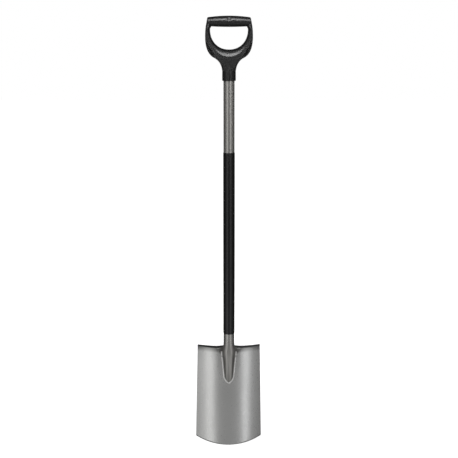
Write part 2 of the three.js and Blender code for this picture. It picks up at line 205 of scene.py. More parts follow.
# ---- mesh building ----
def new_piece(name, bm, sharp_angle=40.0):
    """An object from a bmesh, shaded smooth except along edges sharper than the angle."""
    bmesh.ops.recalc_face_normals(bm, faces=bm.faces)
    limit = math.radians(sharp_angle)
    for face in bm.faces:
        face.smooth = True
    for edge in bm.edges:
        edge.smooth = edge.is_manifold and edge.calc_face_angle() < limit
    mesh = bpy.data.meshes.new(name)
    bm.to_mesh(mesh)
    bm.free()
    piece = bpy.data.objects.new(name, mesh)
    bpy.context.scene.collection.objects.link(piece)
    return piece


def loft(name, rings, start=None, end=None, sharp_angle=40.0):
    """A closed skin through rings of points; each end is a point, or the flat ring if it is None."""
    bm = bmesh.new()
    loops = [[bm.verts.new(point) for point in ring] for ring in rings]
    for lower, upper in zip(loops, loops[1:]):
        for i, vert in enumerate(lower):
            after = (i + 1) % len(lower)
            bm.faces.new((vert, lower[after], upper[after], upper[i]))
    for loop, tip in ((loops[0], start), (loops[-1], end)):
        if tip is None:
            bm.faces.new(loop)
            continue
        pole = bm.verts.new(tip)
        for i, vert in enumerate(loop):
            bm.faces.new((vert, loop[(i + 1) % len(loop)], pole))
    return new_piece(name, bm, sharp_angle)


def torus_loft(name, rings, sharp_angle=40.0):
    """A closed skin whose last ring joins its first, as on a hollow sleeve."""
    bm = bmesh.new()
    loops = [[bm.verts.new(point) for point in ring] for ring in rings]
    for lower, upper in zip(loops, loops[1:] + loops[:1]):
        for i, vert in enumerate(lower):
            after = (i + 1) % len(lower)
            bm.faces.new((vert, lower[after], upper[after], upper[i]))
    return new_piece(name, bm, sharp_angle)


def full_turn(sides):
    return [2 * math.pi * i / sides for i in range(sides)]


def circle(radius, z, sides):
    return [in_frame(radius * math.cos(a), radius * math.sin(a), z) for a in full_turn(sides)]


def apply_modifiers(piece):
    """Replaces the piece's mesh with what its modifiers make of it."""
    graph = bpy.context.evaluated_depsgraph_get()
    result = bpy.data.meshes.new_from_object(piece.evaluated_get(graph))
    piece.modifiers.clear()
    piece.data = result
    return piece


def finish_piece(piece, node, material):
    """The piece stands for its CAD node, rides on the one body and takes its material."""
    piece.data.materials.clear()
    piece.data.materials.append(material)
    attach(piece, "root")
    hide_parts(node)
    return piece


# ---- blade ----
def seat_depth(x, z):
    across = math.cos(clamp(x / SEAT_HALF_WIDTH, -1, 1) * math.pi / 2) ** 2
    pocket = math.cos(clamp(x / HEEL_POCKET_HALF_WIDTH, -1, 1) * math.pi / 2) ** 0.5
    return (SEAT_DEPTH * across * smoothstep(z, *SEAT_FADE)
            + HEEL_POCKET_DEPTH * pocket * smoothstep(z, *HEEL_POCKET_FADE))


def blade_back_y(x, z):
    arc = BLADE_RADIUS - math.sqrt(BLADE_RADIUS ** 2 - x ** 2)
    return BLADE_BACK + arc + seat_depth(x, z)


def foot_height(x):
    return FOOT_ARC_RADIUS - math.sqrt(FOOT_ARC_RADIUS ** 2 - x ** 2)


def blade_rows():
    """(kind, share) of each row, from the cutting edge up; a row on the bend gives degrees turned."""
    rows = [("edge", 0.0), ("edge", 0.5)]
    rows += [("plate", t) for t in evenly(0, 1, 90)]
    rows += [("bend", degrees) for degrees in (3, 6, 9, 12, 15, 18, 24, 32, 40, 48, 56, 64, 72, 81, 90)]
    rows += [("tread", t) for t in evenly(0, 1, 6)[1:]]
    return rows


def tread_bend(angle):
    """How far back and up the sheet's convex side has gone once it has turned by angle."""
    eased = min(angle, TREAD_EASE_ANGLE)
    back = TREAD_EASE_RADIUS * (1 - math.cos(eased))
    back += TREAD_BEND_RADIUS * (math.cos(eased) - math.cos(angle))
    up = TREAD_EASE_RADIUS * math.sin(eased)
    up += TREAD_BEND_RADIUS * (math.sin(angle) - math.sin(eased))
    return back, up


def blade_point(across, kind, share, depth):
    """A point of the sheet; depth is 0 on the back face and the thickness on the front face."""
    plate_share = {"edge": 0.0, "plate": share}.get(kind, 1.0)
    half_width = lerp(BLADE_HALF_WIDTH_FOOT, BLADE_HALF_WIDTH_TOP, plate_share)
    around = across * half_width / BLADE_RADIUS
    outline_x = BLADE_RADIUS * math.sin(around)
    foot = foot_height(outline_x)
    full_back, full_up = tread_bend(math.pi / 2)
    height = lerp(foot + EDGE_BEVEL, BLADE_TOP - full_up, plate_share)
    if kind == "edge":
        height = lerp(foot, foot + EDGE_BEVEL, share)
    turned = {"bend": math.radians(share), "tread": math.pi / 2}.get(kind, 0.0)
    back, up = tread_bend(turned)
    tread_depth = lerp(TREAD_DEPTH_MIDDLE, TREAD_DEPTH_CORNER, abs(across))
    flat = share * (tread_depth - full_back) if kind == "tread" else 0.0
    radial = BLADE_RADIUS - depth * math.cos(turned)
    wave_across, wave_along = WAVE_LENGTHS
    waviness = WAVE_DEPTH * noise.noise(Vector((outline_x / wave_across, height / wave_along, 0.3)))
    y = BLADE_BACK + BLADE_RADIUS - radial * math.cos(around) + back + flat
    y += seat_depth(outline_x, height + up) + waviness
    return in_frame(radial * math.sin(around), y, height + up - depth * math.sin(turned))


def make_blade():
    columns = [math.sin(t * math.pi / 2) * 0.25 + t * 0.75 for t in evenly(-1, 1, 140)]
    rows = blade_rows()
    bm = bmesh.new()
    sides = []
    for front in (False, True):
        grid = []
        for kind, share in rows:
            ground = lerp(BLADE_THICKNESS - EDGE_THICKNESS, 0, share) if kind == "edge" else 0.0
            depth = BLADE_THICKNESS if front else ground
            grid.append([bm.verts.new(blade_point(u, kind, share, depth)) for u in columns])
        sides.append(grid)
        for lower, upper in zip(grid, grid[1:]):
            for i in range(len(columns) - 1):
                bm.faces.new((lower[i], lower[i + 1], upper[i + 1], upper[i]))
    back, front = sides
    borders = (
        lambda g: g[0],
        lambda g: g[-1],
        lambda g: [row[0] for row in g],
        lambda g: [row[-1] for row in g],
    )
    for border in borders:
        a, b = border(back), border(front)
        for i in range(len(a) - 1):
            bm.faces.new((a[i], a[i + 1], b[i + 1], b[i]))
    piece = new_piece("blade_sheet", bm, sharp_angle=30)
    bevel = piece.modifiers.new("rim", "BEVEL")
    bevel.width = RIM_ROUNDING * MM
    bevel.segments = 2
    bevel.limit_method = "ANGLE"
    bevel.angle_limit = math.radians(50)
    return apply_modifiers(piece)


# ---- shaft tube and spear ----
def spear_half_width(z):
    above = max(z - SPEAR_TIP, 0)
    straight = lerp(SPEAR_NOSE_HALF_WIDTH, SPEAR_HALF_WIDTH, above / (SPEAR_WIDEST - SPEAR_TIP))
    nose = 1 - min(above / SPEAR_NOSE_LENGTH, 1)
    if z < SPEAR_WIDEST:
        return straight * (1 - nose ** SPEAR_NOSE_POWER) ** (1 / SPEAR_NOSE_POWER)
    return lerp(SPEAR_HALF_WIDTH, TUBE_RADIUS, smoothstep(z, SPEAR_WIDEST, SPEAR_START))


def tube_point(angle, inset, z):
    """A point of the tube's skin; angle is 0 on the near side, and inset is the depth in the wall."""
    if z >= SLEEVE_BOTTOM:
        radius = TUBE_RADIUS - inset
        return in_frame(radius * math.sin(angle), -radius * math.cos(angle), z)
    seated = 1 - smoothstep(z, BLADE_TOP, SLEEVE_BOTTOM)
    seat_z = min(z, HEEL_POCKET_FADE[0])
    far = lerp(TUBE_RADIUS, blade_back_y(0, seat_z) - SPEAR_LIFT, seated)
    along = clamp((SPEAR_START - z) / (SPEAR_START - SPEAR_TIP))
    near = lerp(-TUBE_RADIUS, far - SPEAR_THICKNESS, along ** SPEAR_SLOPE_POWER)
    x = (spear_half_width(z) - inset) * math.sin(angle)
    y = (far + near) / 2 - ((far - near) / 2 - inset) * math.cos(angle)
    pressed = GROOVE_DEPTH * math.sin(along * math.pi / 2) * min(along * 3, 1)
    groove = pressed * math.exp(-((x / GROOVE_HALF_WIDTH) ** 2)) * max(math.cos(angle), 0) ** 0.5
    return in_frame(x, y + groove, z)


def make_tube():
    turns = full_turn(128)
    nose = [SPEAR_TIP + SPEAR_NOSE_LENGTH * (1 - math.cos(math.radians(d))) for d in range(9, 90, 9)]
    spear = evenly(SPEAR_TIP + SPEAR_NOSE_LENGTH, SLEEVE_BOTTOM, 90)
    bend = evenly(BEND_START - BEND_LENGTH, BEND_START, 12)
    outer = nose + spear + bend + [COLLAR_BOTTOM + SOCKET_DEPTH - 1]
    inner = [z for z in reversed(outer) if z > SPEAR_CAVITY_END + 4]
    rings = [[tube_point(a, 0, z) for a in turns] for z in outer]
    rings += [[tube_point(a, TUBE_WALL, z) for a in turns] for z in inner]
    far = blade_back_y(0, SPEAR_TIP) - SPEAR_LIFT
    tip = in_frame(0, far - SPEAR_THICKNESS / 2, SPEAR_TIP)
    cavity_end = rings[-1][0].lerp(rings[-1][len(turns) // 2], 0.5) - Vector((0, 0, 3 * MM))
    return loft("shaft_tube_skin", rings, start=tip, end=cavity_end)


# ---- welds ----
def toe_path(t):
    """A point (x, z) on the spear's outline and the outward direction there, from its top left
    round the tip to its top right."""
    side = t * 2 - 1
    turn = min(abs(side) / TOE_NOSE_SHARE, 1) * math.pi / 2
    rise = SPEAR_NOSE_LENGTH * (1 - math.cos(turn))
    straight = clamp((abs(side) - TOE_NOSE_SHARE) / (1 - TOE_NOSE_SHARE))
    z = lerp(SPEAR_TIP + rise, TOE_WELD_TOP, straight)
    sign = math.copysign(1, side)
    return (sign * spear_half_width(z), z), (sign * math.sin(turn), -math.cos(turn))


def heel_path(side):
    def path(t):
        z = lerp(*HEEL_WELD_SPAN, t)
        return (side * spear_half_width(z), z), (side, 0)
    return path


def make_bead(name, path, steps, ripples, seed):
    """A low flat bead in the corner between the spear and the blade, with one ripple per weld pool."""
    section = full_turn(16)
    rings = []
    for t in evenly(0, 1, steps):
        (outline_x, outline_z), (out_x, out_z) = path(t)
        pool = abs(math.sin(math.pi * ripples * t)) ** 0.6
        wander = noise.noise(Vector((t * ripples * 0.7, seed, 0)))
        radius = WELD_RADIUS * (0.86 + 0.16 * pool + 0.14 * wander)
        taper = math.sqrt(clamp(min(t, 1 - t) * steps / 4, 0.05, 1))
        ring = []
        for a in section:
            aside = WELD_RADIUS * BEAD_OFFSET + radius * taper * BEAD_WIDTH * math.cos(a)
            x = outline_x + out_x * aside
            z = outline_z + out_z * aside
            back = blade_back_y(x, min(z, HEEL_POCKET_FADE[0]))
            crown = math.copysign(abs(math.sin(a)) ** 0.7, math.sin(a))
            y = back - WELD_RADIUS * BEAD_LIFT - BEAD_HEIGHT * radius * taper * crown
            ring.append(in_frame(x, y, z))
        rings.append(ring)
    return loft(name, rings, sharp_angle=80)


# ---- sleeve ----
def make_sleeve():
    inner = TUBE_RADIUS + SLEEVE_CLEARANCE
    outer = inner + SLEEVE_WALL
    chamfer_top = SLEEVE_BOTTOM + SLEEVE_CHAMFER
    bend = evenly(BEND_START - BEND_LENGTH, BEND_START, 16)
    profile = [(inner, SLEEVE_BOTTOM), (inner + SLEEVE_WALL / 3, SLEEVE_BOTTOM)]
    profile += [(outer - 0.1, chamfer_top - 0.6), (outer, chamfer_top)]
    profile += [(outer, z) for z in bend]
    profile += [(outer, SLEEVE_TOP - SLEEVE_LIP)]
    profile += [(outer - SLEEVE_LIP * 0.3, SLEEVE_TOP - SLEEVE_LIP * 0.3)]
    profile += [(outer - SLEEVE_LIP, SLEEVE_TOP), (inner, SLEEVE_TOP)]
    profile += [(inner, z) for z in reversed(bend)]
    return torus_loft("shaft_sleeve_skin", [circle(r, z, 128) for r, z in profile])


# ---- handle ----
def bezier(p0, p1, p2, p3, t):
    s = 1 - t
    weights = (s ** 3, 3 * s * s * t, 3 * s * t * t, t ** 3)
    return tuple(sum(w * p[k] for w, p in zip(weights, (p0, p1, p2, p3))) for k in (0, 1))


def outer_outline():
    """The right half of the handle's outline, from the collar up to the arm's top."""
    curves = [
        ((18.0, COLLAR_CUT), (18.0, 42.0), (28.0, 54.0), (37.5, 59.0)),
        ((37.5, 59.0), (53.0, 66.0), (62.6, 83.0), (62.5, 112.0)),
        ((62.5, 112.0), (62.8, 130.0), (60.5, 147.0), (58.0, 158.0)),
    ]
    return [bezier(*curve, t) for curve in curves for t in evenly(0, 1, 24)[:-1]]


def outline_along_ray(turn, outline):
    """Where the ray from the middle of the hand opening, turn from straight down, leaves the handle."""
    drop = HAND_ARC_HEIGHT - COLLAR_CUT
    if math.tan(turn) * drop < outline[0][0]:
        return math.tan(turn) * drop, COLLAR_CUT
    for (x0, z0), (x1, z1) in zip(outline, outline[1:]):
        t0 = math.atan2(x0, HAND_ARC_HEIGHT - z0)
        t1 = math.atan2(x1, HAND_ARC_HEIGHT - z1)
        if t0 <= turn <= t1:
            share = (turn - t0) / (t1 - t0)
            return lerp(x0, x1, share), lerp(z0, z1, share)
    return outline[-1]


def outline_at_height(z, outline):
    for (x0, z0), (x1, z1) in zip(outline, outline[1:]):
        if z0 <= z <= z1:
            return lerp(x0, x1, (z - z0) / (z1 - z0))
    return outline[-1][0]


def hand_arc(turn):
    """The hand opening's lower edge, a little squarer than half an ellipse."""
    power = HAND_ARC_POWER
    reach = (math.sin(turn) ** power + math.cos(turn) ** power) ** (-1 / power)
    return (HAND_HALF_WIDTH * reach * math.sin(turn),
            HAND_ARC_HEIGHT - HAND_ARC_DROP * reach * math.cos(turn))


def arm_section(inner, outer, scoop, half_depth):
    """A ring across the arm: a scooped inner side, flat faces with a crease, a rounded outer edge.
    Next to the collar the faces are held in to its round shape."""
    width = math.dist(inner, outer)
    along = ((outer[0] - inner[0]) / width, (outer[1] - inner[1]) / width)
    scoop = min(scoop, width * 0.6)
    round_off = min(EDGE_ROUNDING, width * 0.3, half_depth)
    profile = []
    for t in evenly(0, 1, 10):
        a = t * SCOOP_TURN
        w = scoop * (1 - math.cos(a)) / (1 - math.cos(SCOOP_TURN))
        profile.append((w, half_depth * math.sin(a) / math.sin(SCOOP_TURN)))
    flat_end = width - round_off
    profile += [(w, half_depth) for w in evenly(scoop, flat_end, 6)[1:-1]]
    for t in evenly(0, 1, 10):
        a = t * math.pi / 2
        depth = half_depth - round_off + round_off * math.cos(a)
        profile.append((flat_end + round_off * math.sin(a), depth))
    ring = [(w, -d) for w, d in profile] + [(w, d) for w, d in reversed(profile[1:])]
    points = []
    for w, d in ring:
        x = inner[0] + along[0] * w
        z = inner[1] + along[1] * w
        flare = COLLAR_RADIUS - 0.1 + COLLAR_FLARE * max(z - COLLAR_CUT, 0)
        limit = math.sqrt(max(flare ** 2 - x ** 2, 0.25))
        points.append(in_frame(x, clamp(d, -limit, limit), COLLAR_BOTTOM + z))
    return points


def frame_rings():
    """The rings from one arm's top through the web to the other arm's top."""
    outline = outer_outline()
    half = []
    for turn in evenly(0, math.pi / 2, 40):
        near_web = 1 - smoothstep(turn, 0, WEB_FADE_ANGLE)
        half_depth = lerp(HANDLE_HALF_DEPTH, WEB_HALF_DEPTH, near_web)
        scoop = lerp(ARM_SCOOP, WEB_SCOOP, 1 - smoothstep(turn, 0, SCOOP_FADE_ANGLE))
        half.append((hand_arc(turn), outline_along_ray(turn, outline), scoop, half_depth))
    for z in evenly(HAND_ARC_HEIGHT, ARM_TOP, 28)[1:]:
        inner_x = HAND_HALF_WIDTH
        inner_x -= ARM_INNER_INSET * smoothstep(z, HAND_ARC_HEIGHT, ARM_INNER_INSET_END)
        outer_x = outline_at_height(z, outline)
        outer_x -= ARM_OUTER_INSET * smoothstep(z, ARM_OUTER_INSET_START, ARM_TOP)
        thinned = (z - HAND_ARC_HEIGHT) / (ARM_TOP - HAND_ARC_HEIGHT)
        half_depth = lerp(HANDLE_HALF_DEPTH, ARM_TOP_HALF_DEPTH, thinned)
        half.append(((inner_x, z), (outer_x, z), ARM_SCOOP, half_depth))
    mirrored = [((-a[0], a[1]), (-b[0], b[1]), scoop, depth) for a, b, scoop, depth in half[1:]]
    return [arm_section(*ring) for ring in mirrored[::-1] + half]


def turned_part(name, profile, sides=98):
    """A turned solid about the shaft's axis from (radius, height above the collar's edge)."""
    rings = [circle(r, COLLAR_BOTTOM + z, sides) for r, z in profile]
    return loft(name, rings)


def cross_rod(name, profile, sides=96):
    """A turned solid about the grip's axis from (radius, distance along X)."""
    centre = COLLAR_BOTTOM + GRIP_HEIGHT
    rings = []
    for radius, along in profile:
        rings.append([in_frame(along, radius * math.cos(a), centre + radius * math.sin(a))
                      for a in full_turn(sides)])
    return loft(name, rings)


def combine(piece, tool, operation):
    boolean = piece.modifiers.new("combine", "BOOLEAN")
    boolean.operation = operation
    boolean.solver = "EXACT"
    boolean.object = tool
    apply_modifiers(piece)
    bpy.data.objects.remove(tool)


def cut(piece, tool):
    combine(piece, tool, "DIFFERENCE")


def add(piece, tool):
    combine(piece, tool, "UNION")


def handle_core(grow=0.0):
    """The rod inside the grip, between the arms."""
    radius = GRIP_CORE_RADIUS + grow
    half_length = GRIP_CORE_HALF_LENGTH + grow
    return cross_rod("core", [(radius, -half_length), (radius, half_length)])


def make_handle():
    collar = turned_part("collar", [
        (COLLAR_RADIUS - 2.2, 0), (COLLAR_RADIUS - 1.4, 0.2), (COLLAR_RADIUS - 0.7, 0.7),
        (COLLAR_RADIUS - 0.2, 1.5), (COLLAR_RADIUS, 2.6), (COLLAR_RADIUS, 22), (COLLAR_RADIUS - 0.4, 30),
        (COLLAR_RADIUS - 1.0, 38), (COLLAR_RADIUS - 1.7, 46), (COLLAR_RADIUS - 2.4, 54),
    ])
    handle = loft("handle_frame", frame_rings(), sharp_angle=13)
    add(handle, collar)
    add(handle, handle_core())
    socket_radius = TUBE_RADIUS + SOCKET_CLEARANCE
    cut(handle, turned_part("socket", [(socket_radius, -2), (socket_radius, SOCKET_DEPTH)]))
    cut(handle, screw_recess())
    even = handle.modifiers.new("even", "WEIGHTED_NORMAL")
    even.keep_sharp = True
    return apply_modifiers(handle)


def grip_profile():
    """(radius, distance along X) of the grip's barrel, with rounded ends."""
    end = []
    for turn in evenly(0, math.pi / 2, 8):
        radius = GRIP_RADIUS_END - GRIP_END_ROUNDING * (1 - math.sin(turn))
        end.append((radius, -GRIP_HALF_LENGTH + GRIP_END_ROUNDING * (1 - math.cos(turn))))
    rounded = GRIP_HALF_LENGTH - GRIP_END_ROUNDING
    barrel = []
    for along in evenly(-rounded, rounded, 110)[1:-1]:
        barrel.append((lerp(GRIP_RADIUS_END, GRIP_RADIUS_MIDDLE, 1 - (along / rounded) ** 2), along))
    return end + barrel + [(radius, -along) for radius, along in reversed(end)]


def make_grip():
    """The soft barrel, moulded over the core and the arms' tops, with a small dimple in front."""
    turns = full_turn(128)
    centre = COLLAR_BOTTOM + GRIP_HEIGHT
    rings = []
    for radius, along in grip_profile():
        bow = GRIP_BOW * (1 - (along / GRIP_HALF_LENGTH) ** 2)
        ring = []
        for a in turns:
            around = (a - DIMPLE_TURN) * radius
            from_dimple = math.hypot(along, around) / DIMPLE_SPREAD
            r = radius - DIMPLE_DEPTH * math.exp(-from_dimple ** 2 / 2)
            above = r * math.sin(a)
            x = along * (1 - GRIP_END_SLANT * above)
            ring.append(in_frame(x, r * math.cos(a), centre + bow + above))
        rings.append(ring)
    grip = loft("grip_sleeve", rings)
    cut(grip, handle_core(GRIP_CORE_CLEARANCE))
    cut(grip, loft("arms", frame_rings()))
    return grip


# ---- screw ----
def screw_ring(radius, depth, sides):
    """A circle about the screw's axis, which lies along Y; depth is out from the collar's face."""
    centre = COLLAR_BOTTOM + SCREW_HEIGHT
    return [in_frame(radius * math.cos(a), SCREW_FACE + depth, centre + radius * math.sin(a))
            for a in full_turn(sides)]


def screw_recess():
    radius = SCREW_HEAD_RADIUS + 0.35
    return loft("recess", [screw_ring(radius, depth, 48) for depth in (-2.35, 4.0)])


def screw_slot(half_x, half_z):
    """A slot that narrows towards its floor."""
    centre = COLLAR_BOTTOM + SCREW_HEIGHT
    corners = ((-half_x, -half_z), (half_x, -half_z), (half_x, half_z), (-half_x, half_z))
    rings = []
    for depth, scale in ((-1.4, 0.6), (1.0, 1.0)):
        rings.append([in_frame(x * scale, SCREW_FACE + depth, centre + z * scale) for x, z in corners])
    return loft("slot", rings)


def make_screw():
    profile = [
        (0.4, -11), (SCREW_SHANK_RADIUS, -9), (SCREW_SHANK_RADIUS, -2.3), (SCREW_HEAD_RADIUS, -2.2),
        (SCREW_HEAD_RADIUS, -0.9), (SCREW_HEAD_RADIUS - 0.4, -0.4), (SCREW_HEAD_RADIUS - 1.4, 0.0),
        (1.0, 0.2),
    ]
    screw = loft("collar_screw", [screw_ring(radius, depth, 64) for radius, depth in profile])
    cut(screw, screw_slot(SCREW_SLOT_HALF_LENGTH, SCREW_SLOT_HALF_WIDTH))
    cut(screw, screw_slot(SCREW_SLOT_HALF_WIDTH, SCREW_SLOT_HALF_LENGTH))
    return screw


# ---- materials ----
def set_range(node, low, high, to_low, to_high):
    """Sets up a Map Range node."""
    names = ("From Min", "From Max", "To Min", "To Max")
    for name, number in zip(names, (low, high, to_low, to_high)):
        node.inputs[name].default_value = number


class Shader:
    """A Principled material with short calls for the procedural detail that feeds it."""

    def __init__(self, name, color, metallic, roughness):
        self.material = bpy.data.materials.new(name)
        self.material.use_nodes = True
        self.tree = self.material.node_tree
        self.bsdf = self.tree.nodes["Principled BSDF"]
        self.bsdf.inputs["Base Color"].default_value = (*color, 1)
        self.bsdf.inputs["Metallic"].default_value = metallic
        self.bsdf.inputs["Roughness"].default_value = roughness
        self.position = self.tree.nodes.new("ShaderNodeTexCoord").outputs["Object"]

    def link(self, source, target):
        self.tree.links.new(source, target)

    def noise(self, scale, stretch=(1, 1, 1), detail=4.0, turn=(0, 0, 0)):
        """Noise over the object's own coordinates, from 0 to 1."""
        mapping = self.tree.nodes.new("ShaderNodeMapping")
        mapping.inputs["Rotation"].default_value = turn
        mapping.inputs["Scale"].default_value = stretch
        self.link(self.position, mapping.inputs["Vector"])
        texture = self.tree.nodes.new("ShaderNodeTexNoise")
        texture.inputs["Scale"].default_value = scale
        texture.inputs["Detail"].default_value = detail
        self.link(mapping.outputs["Vector"], texture.inputs["Vector"])
        return texture.outputs["Fac"]

    def ramp(self, value, low, high, to_low, to_high):
        node = self.tree.nodes.new("ShaderNodeMapRange")
        set_range(node, low, high, to_low, to_high)
        self.link(value, node.inputs["Value"])
        return node.outputs["Result"]

    def math(self, operation, a, b):
        node = self.tree.nodes.new("ShaderNodeMath")
        node.operation = operation
        for socket, value in zip(node.inputs, (a, b)):
            if isinstance(value, (int, float)):
                socket.default_value = value
            else:
                self.link(value, socket)
        return node.outputs["Value"]

    def coordinate(self, axis):
        """X, Y or Z in the object's own coordinates, in metres."""
        split = self.tree.nodes.new("ShaderNodeSeparateXYZ")
        self.link(self.position, split.inputs["Vector"])
        return split.outputs[axis]

    def from_middle(self):
        return self.math("ABSOLUTE", self.coordinate("X"), 0)

    def mix(self, factor, a, b):
        node = self.tree.nodes.new("ShaderNodeMix")
        node.data_type = "RGBA"
        self.link(factor, node.inputs["Factor"])
        for socket, value in ((node.inputs["A"], a), (node.inputs["B"], b)):
            if isinstance(value, tuple):
                socket.default_value = (*value, 1)
            else:
                self.link(value, socket)
        return node.outputs["Result"]

    def attribute(self, name):
        node = self.tree.nodes.new("ShaderNodeAttribute")
        node.attribute_name = name
        return node.outputs["Fac"]

    def color(self, value):
        self.link(value, self.bsdf.inputs["Base Color"])

    def roughness(self, value):
        self.link(value, self.bsdf.inputs["Roughness"])

    def bump(self, height, depth, strength=1.0):
        node = self.tree.nodes.new("ShaderNodeBump")
        node.inputs["Strength"].default_value = strength
        node.inputs["Distance"].default_value = depth * MM
        self.link(height, node.inputs["Height"])
        self.link(node.outputs["Normal"], self.bsdf.inputs["Normal"])


def blade_material():
    """Grained steel: scratched at its lower corners, tinted near the welds, with painted shade under the
    treads and painted shadow along and beside the welds.
    """
    steel = Shader("blade steel", (0.60, 0.60, 0.59), 1.0, 0.30)
    cloud = steel.noise(9, detail=3)
    grain = steel.noise(900, stretch=(1, 1, 0.03), detail=2)
    base = steel.mix(cloud, (0.56, 0.56, 0.55), (0.65, 0.65, 0.64))
    scratch = steel.noise(700, stretch=(1, 1, 0.02), detail=1, turn=(0, math.radians(32), 0))
    scratched = steel.ramp(scratch, 0.66, 0.72, 0.0, 1.0)
    low = steel.ramp(steel.coordinate("Z"), 0.035, 0.075, 1.0, 0.0)
    outer = steel.ramp(steel.from_middle(), 0.045, 0.08, 0.0, 1.0)
    lower_corners = steel.math("MULTIPLY", low, outer)
    base = steel.mix(steel.math("MULTIPLY", lower_corners, scratched), base, (0.32, 0.32, 0.31))
    patchy = steel.ramp(steel.noise(60, detail=3), 0.35, 0.65, 0.3, 1.0)
    base = steel.mix(steel.math("MULTIPLY", steel.attribute("heat"), patchy), base, (0.57, 0.54, 0.58))
    # Painted shade: darker along the toe bead and beside the heel welds, next to the tube.
    base = steel.mix(steel.attribute("painted_weld_shade"), base, (0.20, 0.19, 0.18))
    # Painted shade: the steel darkens towards the crease under the treads.
    painted_tread_shade = steel.ramp(steel.coordinate("Z"), 0.280, 0.292, 0.0, 0.75)
    base = steel.mix(painted_tread_shade, base, (0.24, 0.24, 0.23))
    steel.color(base)
    steel.roughness(steel.ramp(grain, 0.3, 0.7, 0.27, 0.33))
    steel.bump(grain, 0.01, 0.25)
    return steel.material


def tube_material():
    """Grey paint, rougher all over the spear, with a painted highlight on the spear's two ridges and
    painted shade on its flanks.
    """
    paint = Shader("shaft paint", (0.42, 0.41, 0.39), 0.75, 0.35)
    cloud = paint.noise(14, detail=3)
    base = paint.mix(cloud, (0.40, 0.39, 0.37), (0.45, 0.44, 0.42))
    from_middle = paint.from_middle()
    on_spear = paint.ramp(paint.coordinate("Z"), 0.270, 0.292, 1.0, 0.0)
    # Painted shade on the spear's flanks and a painted highlight on its two ridges.
    flank_shade = paint.math("MULTIPLY", paint.ramp(from_middle, 0.0062, 0.0085, 0.0, 0.55), on_spear)
    ridge_highlight = paint.math("MULTIPLY", paint.ramp(from_middle, 0.0014, 0.003, 0.0, 0.5), on_spear)
    base = paint.mix(ridge_highlight, base, (0.62, 0.61, 0.58))
    base = paint.mix(flank_shade, base, (0.12, 0.12, 0.11))
    paint.color(base)
    peel = paint.noise(1300, detail=2)
    low = paint.ramp(paint.coordinate("Z"), 0.30, 0.33, 1.0, 0.0)
    speck = paint.ramp(peel, 0.3, 0.7, 0.17, 0.24)
    paint.roughness(paint.math("ADD", speck, paint.math("MULTIPLY", low, 0.16)))
    paint.bump(peel, 0.01, 0.5)
    return paint.material


def weld_material():
    weld = Shader("weld bead", (0.95, 0.95, 0.93), 1.0, 0.4)
    mottle = weld.noise(420, detail=4)
    weld.color(weld.mix(mottle, (0.84, 0.83, 0.81), (1.0, 1.0, 0.98)))
    weld.roughness(weld.ramp(mottle, 0.3, 0.7, 0.3, 0.45))
    weld.bump(mottle, 0.05, 0.6)
    return weld.material


def black_material(name, shade, roughness, grain_scale, grain_depth):
    plastic = Shader(name, (shade, shade, shade * 1.02), 0.0, roughness)
    haze = plastic.noise(35, detail=3)
    lighter = shade * 1.35
    plastic.color(plastic.mix(haze, (shade, shade, shade), (lighter, lighter, lighter * 1.03)))
    grain = plastic.noise(grain_scale, detail=3)
    plastic.roughness(plastic.ramp(grain, 0.3, 0.7, roughness - 0.015, roughness + 0.015))
    plastic.bump(grain, grain_depth, 0.15)
    return plastic.material


def screw_material():
    zinc = Shader("zinc plate", (0.68, 0.68, 0.67), 1.0, 0.3)
    mottle = zinc.noise(900, detail=3)
    zinc.color(zinc.mix(mottle, (0.58, 0.58, 0.56), (0.74, 0.74, 0.73)))
    zinc.roughness(zinc.ramp(mottle, 0.3, 0.7, 0.22, 0.38))
    zinc.bump(mottle, 0.02, 0.5)
    return zinc.material


def paint_heat_and_shade(piece):
    """Stores on the blade how near each vertex lies to a weld: a wide heat tint, a narrow painted shadow
    line along the toe bead and painted shade beside the heel welds.
    """
    route = []
    for t in evenly(0, 1, 80):
        (x, z), _ = toe_path(t)
        route.append(in_frame(x, blade_back_y(x, z), z))
    # Centres of the painted shade beside the heel welds, where the tube meets the blade's top.
    heels = []
    for side in (-1, 1):
        for t in evenly(0, 1, 12):
            (x, z), _ = heel_path(side)(t)
            back = blade_back_y(x, z)
            heels.append(in_frame(x + side * HEEL_SHADE_ASIDE, back, z + HEEL_SHADE_RISE))
    heat = piece.data.attributes.new("heat", "FLOAT", "POINT")
    # The second attribute is painted shade: a faint painted shadow line along the toe bead and a dark
    # patch beside each heel weld.
    painted_weld_shade = piece.data.attributes.new("painted_weld_shade", "FLOAT", "POINT")
    for vertex, warm, dark in zip(piece.data.vertices, heat.data, painted_weld_shade.data):
        to_toe = min((vertex.co - point).length for point in route) / MM
        to_heel = min((vertex.co - point).length for point in heels) / MM
        warm.value = smoothstep(1 - to_toe / HEAT_REACH, 0, 1)
        toe_painted_shadow = 0.15 * smoothstep(TOE_SHADOW_REACH - to_toe, 0, 3)
        heel_painted_shade = 0.8 * smoothstep(HEEL_SHADE_REACH - to_heel, 0, 5)
        dark.value = max(toe_painted_shadow, heel_painted_shade)


